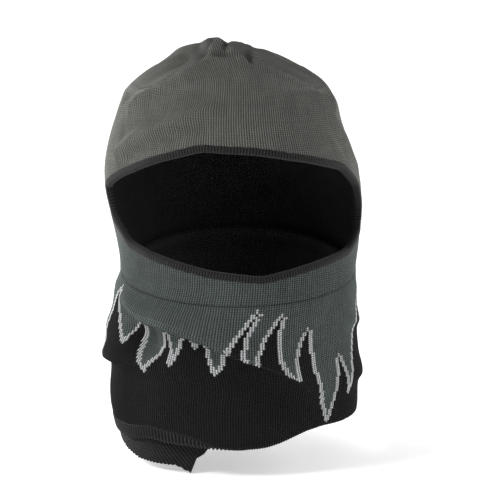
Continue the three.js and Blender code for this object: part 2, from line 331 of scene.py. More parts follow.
# The label: its thickness, how far inside the lining's inner face it starts, and how far its foot stands away.
LABEL_THICKNESS = 0.35
LABEL_CLEAR = 1.9
LABEL_FLARE = 2.6
LABEL_RIPPLE = 0.25

# Steps down the neck's profile and along its turned-under edge.
PROFILE_STEPS = 280
ROLL_STEPS = 26


def catmull_rom(table, place):
    """Rows of a table joined by a cubic through four neighbours:
    half of (2b + (c-a)t + (2a-5b+4c-d)t^2 + (3b-a-3c+d)t^3)."""
    mirrored = table[-2] * np.array([1, 1, 1, -1, -1, -1])
    rows = np.vstack([2 * table[0] - table[1], table, mirrored])
    place = np.clip(place, 0, len(table) - 1 - 1e-9)
    row = np.floor(place).astype(int)
    t = (place - row)[..., None]
    a, b, c, d = (rows[row + step] for step in range(4))
    return 0.5 * (2 * b + (c - a) * t + (2 * a - 5 * b + 4 * c - d) * t**2 + (3 * b - a - 3 * c + d) * t**3)


def bag(angle, place):
    """The plain bag: x = sway + half width * sin(angle), y = shift - reach * cos(angle), z = height."""
    angle, place = np.broadcast_arrays(np.asarray(angle, float), np.asarray(place, float))
    height, sway, shift, side, front, back = np.moveaxis(catmull_rom(SECTIONS, place), -1, 0)
    turn = np.radians(angle)
    reach = np.where(np.cos(turn) > 0, front, back)
    return np.stack([sway + side * np.sin(turn), shift - reach * np.cos(turn), height], -1)


def bell(distance, width):
    """exp(-(distance / width)^2)."""
    return np.exp(-((distance / width) ** 2))


def unit(vectors):
    """Each vector divided by its length."""
    return vectors / np.maximum(np.linalg.norm(vectors, axis=-1, keepdims=True), 1e-9)


def bag_outward(angle, place):
    """The bag's outward direction: the cross product of its steps round and up, taken half a degree apart."""
    place = np.clip(place, 0.05, TOP_ROW - 0.15)
    around = bag(angle + 0.5, place) - bag(angle - 0.5, place)
    upwards = bag(angle, place + 0.04) - bag(angle, place - 0.04)
    return unit(np.cross(around, upwards))


PLACES = np.linspace(0, TOP_ROW, 2201)
HEIGHTS = catmull_rom(SECTIONS, PLACES)[:, 0]


def place_of(height):
    """The place between rows that has a height, by interpolation."""
    return np.interp(height, HEIGHTS, PLACES)


def at_angle(table, angle, softness=3.0):
    """A table of (angle, value) read round the head, joined straight and blurred by a bell of the given degrees."""
    table = np.array(sorted(table))
    circle = np.arange(0, FULL_TURN, 0.5)
    values = np.interp(circle, table[:, 0], table[:, 1], period=FULL_TURN)
    if softness:
        weights = bell(np.minimum(circle, FULL_TURN - circle), softness)
        values = np.fft.irfft(np.fft.rfft(values) * np.fft.rfft(weights / weights.sum()), len(circle))
    return np.interp(angle, circle, values, period=FULL_TURN)


def span_strength(table, angle):
    """Like at_angle, but nothing outside the table's own span of angles, which may cross the back."""
    start, end = table[0][0], table[-1][0]
    width = (end - start) % FULL_TURN
    offset = (angle - start) % FULL_TURN
    steps = [(a - start) % FULL_TURN for a, _ in table]
    return np.where(offset <= width, np.interp(offset, steps, [value for _, value in table]), 0.0)


def wrapped(angle):
    """An angle brought between -180 and 180 degrees."""
    return (angle + 180) % FULL_TURN - 180


def plane_height(plane, angle):
    """Where a tilted plane meets the bag: each pass takes the height from the last pass's place."""
    front, back, side = plane
    height = np.full(np.shape(angle), (front + back) / 2.0)
    for _ in range(8):
        point = bag(angle, place_of(height))
        height = (front + back) / 2 + ((back - front) / 2 * point[..., 1] + side * point[..., 0]) / PLANE_REACH
    return height


def smoothstep(low, high, value):
    """0 below low, 1 above high, and 3t^2 - 2t^3 between."""
    t = np.clip((value - low) / (high - low), 0, 1)
    return t * t * (3 - 2 * t)


def unevenness(points):
    """Slow waves all over the cloth: a sum of products of sines of the place in space."""
    x, y, z = np.moveaxis(points, -1, 0)
    broad = np.sin(x / 17 + z / 23 + 1.1) * np.sin(y / 19 - z / 31)
    small = np.sin(x / 7.3 - z / 9.1) * np.sin(y / 6.7 + z / 8.3 + 0.7)
    return 0.7 * broad + 0.22 * small


# ---- The face opening ----


def opening_loop(inset, steps):
    """Places round the opening as (angle, height): the outline joined straight, rounded by a bell and moved in."""
    corners = np.array(OPENING, float) * [MM_PER_DEGREE, 1]
    closed = np.vstack([corners, corners[:1]])
    lengths = np.concatenate([[0], np.cumsum(np.linalg.norm(np.diff(closed, axis=0), axis=1))])
    along = np.linspace(0, lengths[-1], steps, endpoint=False)
    loop = np.stack([np.interp(along, lengths, closed[:, axis]) for axis in (0, 1)], 1)
    weights = bell(np.minimum(along, lengths[-1] - along), OPENING_ROUNDING)
    blur = np.fft.rfft(weights / weights.sum())[:, None]
    loop = np.fft.irfft(np.fft.rfft(loop, axis=0) * blur, steps, axis=0)
    tangent = unit(np.roll(loop, -1, 0) - np.roll(loop, 1, 0))
    inward = np.stack([-tangent[:, 1], tangent[:, 0]], 1)
    return (loop + inward * inset) / [MM_PER_DEGREE, 1]


def opening_edges(angle, inset):
    """For each angle the opening's upper and lower height, and whether the opening is there at all."""
    loop = opening_loop(inset, 900)
    ahead = np.roll(loop, -1, 0)
    before = loop[:, :1] - angle
    after = ahead[:, :1] - angle
    crosses = before * after <= 0
    share = before / np.where(before == after, 1, before - after)
    height = loop[:, 1:] + (ahead[:, 1:] - loop[:, 1:]) * share
    upper = np.where(crosses, height, -1e3).max(0)
    lower = np.where(crosses, height, 1e3).min(0)
    return upper, lower, crosses.any(0)


# ---- Meshes from grids ----


def make_piece(name, points, quads, material, corner_uv=None, corner_colour=None):
    """A smooth mesh object from points in millimetres and quads; a quad whose last two corners are one point is a
    triangle."""
    quads = np.asarray(quads).reshape(-1, 4)
    keep = np.ones(quads.shape, bool)
    keep[:, 3] = quads[:, 2] != quads[:, 3]
    loops = quads[keep].astype(np.int32)
    totals = keep.sum(1)
    starts = np.concatenate([[0], np.cumsum(totals)[:-1]]).astype(np.int32)
    mesh = bpy.data.meshes.new(name)
    mesh.vertices.add(len(points))
    mesh.vertices.foreach_set("co", (np.asarray(points) * MM).astype(np.float32).ravel())
    mesh.loops.add(len(loops))
    mesh.loops.foreach_set("vertex_index", loops)
    mesh.polygons.add(len(starts))
    mesh.polygons.foreach_set("loop_start", starts)
    mesh.update(calc_edges=True)
    mesh.polygons.foreach_set("use_smooth", np.ones(len(starts), bool))
    if corner_uv is not None:
        layer = mesh.uv_layers.new(name="Knit")
        layer.data.foreach_set("uv", np.asarray(corner_uv).reshape(-1, 4, 2)[keep].astype(np.float32).ravel())
    if corner_colour is not None:
        colours = np.asarray(corner_colour).reshape(-1, 4, 3)[keep]
        full = np.concatenate([colours, np.ones((len(colours), 1))], 1).astype(np.float32)
        attribute = mesh.color_attributes.new("Yarn", "FLOAT_COLOR", "CORNER")
        attribute.data.foreach_set("color", full.ravel())
    if mesh.validate():
        raise RuntimeError(f"{name}: the mesh had faults")
    mesh.materials.append(material)
    piece = bpy.data.objects.new(name, mesh)
    bpy.context.scene.collection.objects.link(piece)
    return piece


def grid_quads(ids):
    """The quads of a grid of point numbers, facing outwards where columns run round and rows run up."""
    return grid_corners(ids)


def grid_corners(values):
    """The four corner values of each quad of a grid, in the order of grid_quads."""
    corners = [values[:-1, :-1], values[:-1, 1:], values[1:, 1:], values[1:, :-1]]
    return np.stack(corners, 2).reshape(-1, 4, *values.shape[2:])


def rim_quads(outer, inner):
    """The quads that join two edges of a cloth, for an edge that runs round with the cloth above it."""
    return np.stack([outer[1:], outer[:-1], inner[:-1], inner[1:]], -1)


def closed_ids(rows, columns, first=0):
    """Point numbers of a grid that closes round the head: the last column is the first one again."""
    ids = np.arange(rows * columns).reshape(rows, columns) + first
    return np.concatenate([ids, ids[:, :1]], 1)


def columns_round(count):
    """Angles from the back round past the front to the back again, with the end repeated."""
    return -180 + FULL_TURN * np.arange(count + 1) / count


def lengths_along(points):
    """The length from the first row to each row, along every column of points."""
    steps = np.linalg.norm(np.diff(points, axis=0), axis=-1)
    return np.concatenate([np.zeros((1, *steps.shape[1:])), np.cumsum(steps, 0)])


def grid_outward(points):
    """Outward directions of a grid that closes round the head, from central steps along its rows and columns."""
    around = np.roll(points, -1, 1) - np.roll(points, 1, 1)
    upwards = np.gradient(points, axis=0)
    return unit(np.cross(around, upwards))


def wale_relief(columns, height):
    """Alternate columns stand out and in by a height, which makes the knit's vertical ribs."""
    return height * np.where(np.arange(columns) % 2, 1.0, -1.0)


def tube_piece(name, outer, thickness, material, relief, corner_uv, corner_colour=None):
    """A closed cloth from a grid (rows up, columns round): the outer side with its relief, an inner side a thickness
    under it, and the two edges between them."""
    rows, columns = outer.shape[:2]
    outward = grid_outward(outer)
    inner = outer - outward * thickness
    shown = outer + outward * relief[..., None]
    out_ids = closed_ids(rows, columns)
    in_ids = closed_ids(rows, columns, rows * columns)
    faces = grid_quads(out_ids)
    quads = [
        faces,
        grid_quads(in_ids)[:, ::-1],
        rim_quads(out_ids[0], in_ids[0]),
        rim_quads(out_ids[-1], in_ids[-1])[:, ::-1],
    ]
    uv = [corner_uv, corner_uv[:, ::-1], corner_uv[:columns], corner_uv[-columns:]]
    colour = None
    if corner_colour is not None:
        edges = [corner_colour[:columns], corner_colour[-columns:]]
        colour = np.concatenate([corner_colour, corner_colour[:, ::-1], *edges])
    points = np.concatenate([shown.reshape(-1, 3), inner.reshape(-1, 3)])
    return make_piece(name, points, np.concatenate(quads), material, np.concatenate(uv), colour)


# ---- The hood ----


def hood_yarn_and_shade(height, hood, neck):
    """The hood's yarn grey, painted darker as shade towards the neck's cooler grey below the opening's corners,
    where the cloth faces down.
    """
    share = smoothstep(0, 1, (CHIN_TOP - height) / (CHIN_TOP - CHIN_FOOT))[..., None]
    return hood + (neck - hood) * share


def gather_angles(height):
    """The angle of each gather at a height, by interpolation along it."""
    lines = [np.array(sorted(line)) for line in GATHERS]
    return [np.interp(height, line[:, 0], line[:, 1]) for line in lines]


def distance_along(points, line):
    """The distance of each point from the nearest of many samples of a line of (angle, height) on the bag."""
    line = np.array(line, float)
    line[:, 0] = np.degrees(np.unwrap(np.radians(line[:, 0])))
    steps = np.linspace(0, len(line) - 1, LINE_SAMPLES * len(line))
    angle, height = (np.interp(steps, np.arange(len(line)), line[:, axis]) for axis in (0, 1))
    samples = bag(angle, place_of(height))
    nearest = np.full(points.shape[:-1], np.inf)
    for sample in samples:
        nearest = np.minimum(nearest, ((points - sample) ** 2).sum(-1))
    return np.sqrt(nearest)


def hood_relief(angle, points):
    """How far the hood stands out of the bag: slow waves, ridges and creases, the four gathers and the bunched
    crown. Beside a gather a crease exp(-|across| / width) falls between swellings with fine puckers."""
    x, y, height = np.moveaxis(points, -1, 0)
    relief = unevenness(points) * smoothstep(*HOOD_WAVES, height)
    for reach, width, line in HOOD_CREASES:
        relief = relief + reach * bell(distance_along(points, line), width)
    relief = relief - BROW_CREASE * bell(distance_along(points, BROW_LINE), BROW_WIDTH)
    crown = bag(0, TOP_ROW)
    away = np.linalg.norm(points[..., :2] - crown[:2], axis=-1)
    around = np.degrees(np.arctan2(x - crown[0], -(y - crown[1])))
    strength = smoothstep(*GATHER_RISE, height) * (1 - bell(away, CROWN_FADE))
    radius = np.maximum(np.hypot(x, y - GATHER_AXIS_Y), LEAST_RADIUS)
    for index, middle in enumerate(gather_angles(height)):
        across = np.radians(wrapped(angle - middle)) * radius
        side = -1 if index in (1, 2) else 1
        crease = -GATHER_DEPTH * np.exp(-np.abs(across) / GATHER_CREASE)
        lobe = sum(reach * bell(across * side - aside, width) for reach, aside, width in GATHER_LOBES)
        pucker = PUCKER_REACH * np.sin(height * PUCKER_UP + across * PUCKER_ACROSS * side)
        relief = relief + strength * (crease + lobe + pucker * np.exp(-np.abs(across) / PUCKER_WIDTH))
    top = smoothstep(*CROWN_TOP, height)
    for middle_x, middle_y, reach, across, along in CROWN_LUMPS:
        apart = ((x - middle_x) / across) ** 2 + ((y - middle_y) / along) ** 2
        relief = relief + reach * bell(apart, 1) * top
    for reach, count, twist, first, ring, width in CROWN_WAVES:
        wave = np.sin(np.radians(around) * count + away * twist + first)
        relief = relief + reach * (wave * bell(away - ring, width))
    return relief


def hood_uv(corner_angle, corner_place):
    """Wales and courses of the hood. Above the gathers' feet a lobe keeps its wales side by side, counted from the
    lobe's middle, so they are cut off at the gathers."""
    course = np.interp(corner_place, PLACES, lengths_along(bag(90.0, PLACES))) / COURSE
    height = np.interp(corner_place, PLACES, HEIGHTS)
    rings = np.abs(catmull_rom(SECTIONS, PLACES)[:, 3:].mean(1))
    ring = np.interp(corner_place, PLACES, rings)
    foot_ring = np.interp(place_of(GATHER_FOOT), PLACES, rings)
    middle = corner_angle.mean(1, keepdims=True)
    right, left, back_left, back_right = gather_angles(height.mean(1, keepdims=True))
    lobes = [
        (middle > right) & (middle < left),
        (middle >= left) & (middle < back_left),
        (middle <= right) & (middle > back_right),
        middle > 0,
    ]
    centre = np.select(lobes, [*LOBE_MIDDLES, 180], -180)
    narrowing = 1 - (1 - ring / foot_ring) * smoothstep(*WALES_NARROW, height)
    wale = (centre + (corner_angle - centre) * narrowing) * WALES / FULL_TURN
    return np.stack([wale, course], -1)


def hood_layer(name, columns, rows, depth, thickness, material, wale_height, seam_gap, yarn_and_shade=None):
    """A hood layer as two sheets over one ring of columns: from its foot, a gap above the neck seam, up to the
    opening's lower edge, and from the upper edge to the crown. Beside the opening they share a row of points. Both
    sides and all edges are closed."""
    low_rows, high_rows = rows
    angle = columns_round(columns)
    upper, lower, inside = opening_edges(angle[:-1], BINDING_INSET)
    inside = np.append(inside, inside[0])
    meeting = place_of(OPENING_MIDDLE)
    foot_place = place_of(plane_height(NECK_SEAM, angle) + seam_gap)
    low_top = np.where(inside, place_of(np.append(lower, lower[0])), meeting)
    high_foot = np.where(inside, place_of(np.append(upper, upper[0])), meeting)
    low_place = foot_place + (low_top - foot_place) * np.linspace(0, 1, low_rows + 1)[:, None]
    high_place = high_foot + (TOP_ROW - high_foot) * np.linspace(0, 1, high_rows + 1)[:, None]
    place = np.concatenate([low_place, high_place])
    angles = np.broadcast_to(angle, place.shape)
    base = bag(angles, place)
    outward = bag_outward(angles, place)
    outward[-1] = [0.0, 0.0, 1.0]
    relief = hood_relief(angles, base)
    wales = wale_relief(columns + 1, wale_height) * (1 - smoothstep(*WALES_FADE, base[..., 2]))
    outer = base + outward * (relief - depth)[..., None]
    shown = outer + outward * wales[..., None]
    hidden = outer - outward * thickness

    total = place.shape[0] * columns
    ids = closed_ids(place.shape[0], columns)
    ids[low_rows + 1] = np.where(inside, ids[low_rows + 1], ids[low_rows])
    ids[-1] = ids[-1, 0]
    low, high = ids[: low_rows + 1], ids[low_rows + 1 :]
    outer_faces = np.concatenate([grid_quads(low), grid_quads(high)])
    inner_faces = outer_faces + total
    pole = outer_faces[:, 2] == outer_faces[:, 3]
    flip = inner_faces[:, [1, 0, 3, 2]]
    flip[pole] = inner_faces[pole][:, [1, 0, 2, 3]]
    first, last = np.flatnonzero(inside)[[0, -1]] + [-1, 1]
    edge = slice(first, last + 1)
    rims = [
        rim_quads(low[0], low[0] + total),
        rim_quads(low[-1, edge], low[-1, edge] + total)[:, ::-1],
        rim_quads(high[0, edge], high[0, edge] + total),
    ]

    corners = [
        np.concatenate([grid_corners(values[: low_rows + 1]), grid_corners(values[low_rows + 1 :])])
        for values in (angles, place)
    ]
    uv = hood_uv(*corners)
    inner_uv = uv[:, [1, 0, 3, 2]]
    inner_uv[pole] = uv[pole][:, [1, 0, 2, 3]]
    rim_uv = np.zeros((sum(len(rim) for rim in rims), 4, 2))
    points = np.concatenate([shown[:, :-1].reshape(-1, 3), hidden[:, :-1].reshape(-1, 3)])
    quads = np.concatenate([outer_faces, flip, *rims])
    corner_uv = np.concatenate([uv, inner_uv, rim_uv])
    used, numbers = np.unique(quads, return_inverse=True)
    # The hood's colours: its yarn grey, painted darker lower down as shade.
    colours = hood_yarn_and_shade(points[quads][..., 2], *yarn_and_shade) if yarn_and_shade else None
    return make_piece(name, points[used], numbers.reshape(-1, 4), material, corner_uv, colours)


# ---- The neck ----


def fold_shift(angle, height, reach, tuck, above, below, lip, strength):
    """How far one fold moves the cloth out and up. Out: a bell of the height about the lip, wide above it and narrow
    below it. Up, only below the lip: a * exp(1 - a), where a counts narrow widths below it. Both are multiplied by the
    fold's strength at that angle."""
    share = span_strength(strength, angle)
    away = height - at_angle(lip, angle)
    under = np.maximum(-away / below, 0)
    return reach * bell(away, np.where(away > 0, above, below)) * share, tuck * under * np.exp(1 - under) * share


def neck_shift(angle, height, settings):
    """The cloth's move outwards and upwards by all the folds."""
    main = (settings.fold_reach / MM, settings.fold_tuck / MM, *FOLD_WIDTHS, FOLD_LIP, FOLD_STRENGTH)
    return sum(np.array(fold_shift(angle, height, *fold)) for fold in (main, *SOFT_FOLDS))


def pocket(angle, height):
    """The hollow at the main fold's start, a bell in angle and height along a slanting line, and the cloth drawn in
    all along under the fold, a bell of the height about a line below its lip."""
    line_angle, line_height, slope = POCKET_LINE
    middle = line_height + slope * (angle - line_angle)
    hollow = bell(angle - POCKET_ANGLE, POCKET_SPAN) * bell(height - middle, POCKET_REACH)
    below = at_angle(FOLD_LIP, angle) - UNDER_FOLD
    drawn = bell(height - below, UNDER_FOLD) * span_strength(FOLD_STRENGTH, angle)
    return -POCKET_DEPTH * hollow - DRAWN_IN * drawn


def along_profile(points, lengths, targets):
    """Points at given lengths along every column of a profile, joined straight: targets is (rows, angles)."""
    index = (lengths[None] <= targets[:, None]).sum(1) - 1
    index = np.clip(index, 0, len(lengths) - 2)
    low = np.take_along_axis(lengths, index, 0)
    high = np.take_along_axis(lengths, index + 1, 0)
    share = np.clip((targets - low) / np.maximum(high - low, 1e-6), 0, 1)[..., None]
    start = np.take_along_axis(points, index[..., None], 0)
    finish = np.take_along_axis(points, index[..., None] + 1, 0)
    return start + (finish - start) * share


def rounded(points):
    """A profile with its sharp turns rounded: spaced evenly along its length, then averaged under a bell
    FOLD_ROUNDING wide, and left as it was at its two ends."""
    lengths = lengths_along(points)
    even = along_profile(points, lengths, lengths[-1] * np.linspace(0, 1, PROFILE_STEPS)[:, None])
    step = lengths[-1].mean() / PROFILE_STEPS
    reach = int(2 * FOLD_ROUNDING / step)
    offsets = np.arange(-reach, reach + 1)
    weights = bell(offsets * step, FOLD_ROUNDING)
    rows, last = np.arange(PROFILE_STEPS), PROFILE_STEPS - 1
    total = sum(weight * even[np.clip(rows + offset, 0, last)] for weight, offset in zip(weights, offsets))
    from_end = np.minimum(rows, last - rows)
    share = smoothstep(0, 2 * reach, from_end)[:, None, None]
    return even + (total / weights.sum() - even) * share


def neck_profile(angle, settings):
    """The neck cloth at each angle from the seam down: points (steps, angles, 3) and the length of cloth to each.
    The plain bag, moved by the folds, is followed to just above its lowest line, and there it turns under in a half
    circle and runs up again for as long as the turned cloth is."""
    top = plane_height(NECK_SEAM, angle) - SEAM_HALF_GAP
    turned = at_angle(HEM_TURNED, angle)
    sweep = np.minimum(turned / ROLL_RADIUS, np.pi)
    sag = ROLL_RADIUS * np.where(sweep > np.pi / 2, 1.0, np.sin(sweep))
    foot = at_angle(HEM_LINE, angle, 2.0) + sag
    height = top + (foot - top) * np.linspace(0, 1, PROFILE_STEPS)[:, None]
    angles = np.broadcast_to(angle, height.shape)
    place = place_of(height)
    outward = unit(bag_outward(angles, place) * LEVELLED)
    base = bag(angles, place)
    out, up = neck_shift(angles, height, settings)
    hang = smoothstep(top, top - HANG_LENGTH, height)
    fade = smoothstep(foot, foot + FOOT_FADE, height)
    out = out * hang * fade + pocket(angles, height) + unevenness(base) * NECK_WAVES * hang
    points = rounded(base + outward * out[..., None] + np.array([0, 0, 1.0]) * (up * hang * fade)[..., None])

    direction = unit(points[-1] - points[-4])
    inwards = -unit(outward[-1] - direction * (outward[-1] * direction).sum(-1, keepdims=True))
    length = turned * np.linspace(0, 1, ROLL_STEPS)[1:, None]
    swept = np.minimum(length / ROLL_RADIUS, np.pi)
    aside = ROLL_RADIUS * (1 - np.cos(swept))
    along = ROLL_RADIUS * np.sin(swept) - (length - swept * ROLL_RADIUS)
    points = np.concatenate([points, points[-1] + inwards * aside[..., None] + direction * along[..., None]])
    return points, lengths_along(points)


# ---- The flame pattern, knitted in stitch by stitch ----

# Tongue by tongue round the head: angle and course below the seam of the dip before it, the same for its tip, and how
# far its middle bows in degrees.
FLAMES = np.array(
    [
        [-178, 46, -170, 22, -3],
        [-160, 49, -148, 14, 4],
        [-138, 53, -129, 27, -3],
        [-121, 47, -107, 9, 5],
        [-98, 54, -90, 20, -3],
        [-81, 42, -67, 3, -4],
        [-58, 35, -52, 24, -3],
        [-42, 50, -34, 27, 3],
        [-32, 48, -22, 26, 2],
        [-19, 37, -13, 28, 0],
        [-8, 43, -2, 30, 2],
        [1, 42, 11, 2, -8],
        [13, 38, 22, 5, -6],
        [30, 43, 36, 14, -3],
        [47, 71, 54, 33, 2],
        [64, 69, 83, 7, -6],
        [93, 51, 99, 18, 3],
        [112, 53, 124, 12, -4],
        [137, 46, 143, 24, 3],
        [153, 57, 166, 18, -3],
    ],
    float,
)
DIP_ROUNDNESS = 0.9
OUTLINE_STITCHES = 2


def flame_area(angle, drop):
    """The black stitches: between a tongue's two sides. A side runs from its dip to the tip as the share t of the way
    up to the power of the dips' roundness, plus bow * sin(pi t), and straight down below its dip."""
    dark = np.zeros(np.broadcast(angle, drop).shape, bool)
    following = np.roll(FLAMES, -1, 0)
    following[-1, 0] += FULL_TURN
    for (left, left_dip, tip, top, bow), (right, right_dip, *_) in zip(FLAMES, following):
        sides = []
        for foot, dip in ((left, left_dip), (right, right_dip)):
            share = np.clip((dip - drop) / (dip - top), 0, 1)
            sides.append(foot + (tip - foot) * share**DIP_ROUNDNESS + bow * np.sin(np.pi * share))
        for turn in (0, FULL_TURN):
            dark |= (angle + turn >= sides[0]) & (angle + turn < sides[1]) & (drop > top)
    return dark


def spread(mask, stitches):
    """A mask grown by some stitches to both sides, and up and down; it closes round the head."""
    grown = mask.copy()
    for step in range(1, stitches + 1):
        grown |= np.roll(mask, step, 1) | np.roll(mask, -step, 1)
        grown[step:] |= mask[:-step]
        grown[:-step] |= mask[step:]
    return grown


def flame_stitches(courses, colours):
    """Colours of the stitches (courses, wales, 3): black in the flames, whose gaps of one or two stitches are
    closed by growing and shrinking them, a pale outline round them, and above that the neck's grey, darkened as painted
    shade."""
    grey, pale, black = colours
    angle = -180 + FULL_TURN * (np.arange(WALES) + 0.5) / WALES
    dark = ~spread(~spread(flame_area(angle[None], courses[:, None]), 1), 1)
    edge = spread(dark, OUTLINE_STITCHES) & ~dark
    return np.where(dark[..., None], black, np.where(edge[..., None], pale, grey))


# ---- Threads, bands and the label ----


def tube_loop(name, path, outward, half_width, half_height, sides, material, swell=0.0):
    """A closed band along a closed path. Its section is a rounded oblong |x|^3 + |y|^3 = 1, half_width across the
    path and half_height outwards, with a swell added along the path. The Knit map counts ribs along it."""
    along = unit(np.roll(path, -1, 0) - np.roll(path, 1, 0))
    across = unit(np.cross(along, outward))
    upright = np.cross(across, along)
    turn = 2 * np.pi * np.arange(sides) / sides
    cos, sin = np.cos(turn), np.sin(turn)
    size = (np.abs(cos) ** 3 + np.abs(sin) ** 3) ** (-1 / 3)
    swell = np.broadcast_to(swell, len(path))
    x = (half_width + swell * 0.6)[:, None] * (cos * size)[None]
    y = (half_height + swell)[:, None] * (sin * size)[None]
    points = path[:, None] + across[:, None] * x[..., None] + upright[:, None] * y[..., None]
    count = len(path)
    ids = closed_ids(count, sides)
    ids = np.concatenate([ids, ids[:1]])
    rib = np.arange(count + 1) / STEPS_PER_RIB
    around = np.arange(sides + 1) / sides * 4 * (half_width + half_height)
    uv = np.stack(np.broadcast_arrays(rib[:, None], around[None]), -1)
    quads, corners = grid_quads(ids)[:, ::-1], grid_corners(uv)[:, ::-1]
    face = points.reshape(-1, 3)[quads[:sides]]
    normals = np.cross(face[:, 1] - face[:, 0], face[:, 2] - face[:, 0])
    if (normals * (face.mean(1) - path[0])).sum() < 0:
        quads, corners = quads[:, ::-1], corners[:, ::-1]
    return make_piece(name, points.reshape(-1, 3), quads, material, corners)


# A stitch: the places of its rings along half its length, and the points of each ring.
STITCH_SPOTS = np.array([-0.94, -0.6, 0.0, 0.6, 0.94])
STITCH_SIDES = 6


def stitch_points(centres, along, outward, length, radius):
    """Small capsules: a ring of points at each spot t along a stitch, radius * sqrt(1 - t^2) thick, and two tips."""
    turn = 2 * np.pi * np.arange(STITCH_SIDES) / STITCH_SIDES
    across = unit(np.cross(along, outward))
    upright = unit(np.cross(across, along))
    ring = (
        across[:, None, None] * np.cos(turn)[None, None, :, None]
        + upright[:, None, None] * np.sin(turn)[None, None, :, None]
    )
    body = (
        centres[:, None, None]
        + along[:, None, None] * (STITCH_SPOTS * length / 2)[None, :, None, None]
        + ring * (radius * np.sqrt(1 - STITCH_SPOTS**2))[None, :, None, None]
    )
    tips = centres[:, None] + along[:, None] * (np.array([-0.5, 0.5]) * length)[None, :, None]
    rings = len(STITCH_SPOTS) * STITCH_SIDES
    points = np.concatenate([body.reshape(len(centres), rings, 3), tips], 1)
    ids = closed_ids(len(STITCH_SPOTS), STITCH_SIDES)
    start, end = (np.full(STITCH_SIDES, rings + tip) for tip in (0, 1))
    ends = [
        np.stack([ids[0, 1:], ids[0, :-1], start, start], -1),
        np.stack([ids[-1, :-1], ids[-1, 1:], end, end], -1),
    ]
    faces = np.concatenate([grid_quads(ids), *ends])
    all_faces = faces[None] + (rings + 2) * np.arange(len(centres))[:, None, None]
    return points.reshape(-1, 3), all_faces.reshape(-1, 4)


def stitch_row(name, path, outward, pitch, length, radius, material, slant):
    """A row of stitches along a path at a pitch, each turned from the path's direction by a slant in degrees."""
    lengths = lengths_along(path)
    count = int(lengths[-1] / pitch)
    spots = (np.arange(count) + 0.5) * lengths[-1] / count

    def read(values, place):
        """Values at lengths along the path, by interpolation."""
        return np.stack([np.interp(place, lengths, values[:, axis]) for axis in range(3)], 1)

    normal = unit(read(outward, spots))
    along = unit(read(path, spots + 0.5) - read(path, spots - 0.5))
    across = unit(np.cross(normal, along))
    turn = np.radians(slant)
    along = unit(along * np.cos(turn) + across * np.sin(turn))
    points, faces = stitch_points(read(path, spots), along, normal, length, radius)
    return make_piece(name, points, faces, material)


def on_hood(angle, height, lift):
    """Points of the finished hood at angles and heights, lifted off it, and its outward directions."""
    place = place_of(height)
    base = bag(angle, place)
    outward = bag_outward(angle, place)
    relief = hood_relief(angle, base)
    return base + outward * (relief + lift)[..., None], outward


def patch_piece(name, outer, thickness, material):
    """A closed thin cloth from an open grid (rows up, columns to the right as its face is looked at)."""
    rows, columns = outer.shape[:2]
    outward = unit(np.cross(np.gradient(outer, axis=1), np.gradient(outer, axis=0)))
    inner = outer - outward * thickness
    ids = np.arange(rows * columns).reshape(rows, columns)
    back = ids + rows * columns
    quads = np.concatenate(
        [
            grid_quads(ids),
            grid_quads(back)[:, ::-1],
            rim_quads(ids[0], back[0]),
            rim_quads(ids[-1], back[-1])[:, ::-1],
            rim_quads(ids[:, -1], back[:, -1]),
            rim_quads(ids[:, 0], back[:, 0])[:, ::-1],
        ]
    )
    points = np.concatenate([outer.reshape(-1, 3), inner.reshape(-1, 3)])
    return make_piece(name, points, quads, material)


# ---- Materials ----

KNIT_ROUGHNESS = 0.92


class Reading:
    """One value in a material's sums: a number socket whose operators add Math nodes."""

    def __init__(self, finish, socket):
        self.finish, self.socket = finish, socket

    def _math(self, operation, *values):
        sockets = [value.socket if isinstance(value, Reading) else value for value in values]
        node = self.finish.node("ShaderNodeMath", {"operation": operation}, *sockets)
        return Reading(self.finish, node.outputs[0])

    def __add__(self, other):
        return self._math("ADD", self, other)

    def __radd__(self, other):
        return self._math("ADD", other, self)

    def __sub__(self, other):
        return self._math("SUBTRACT", self, other)

    def __rsub__(self, other):
        return self._math("SUBTRACT", other, self)

    def __mul__(self, other):
        return self._math("MULTIPLY", self, other)

    def __rmul__(self, other):
        return self._math("MULTIPLY", other, self)

    def cosine(self):
        """The cosine of this value counted in whole turns."""
        return self._math("COSINE", self * (2 * np.pi))

    def fraction(self):
        """What is left of this value above a whole number."""
        return self._math("FRACT", self)

    def size(self):
        """This value without its sign."""
        return self._math("ABSOLUTE", self)


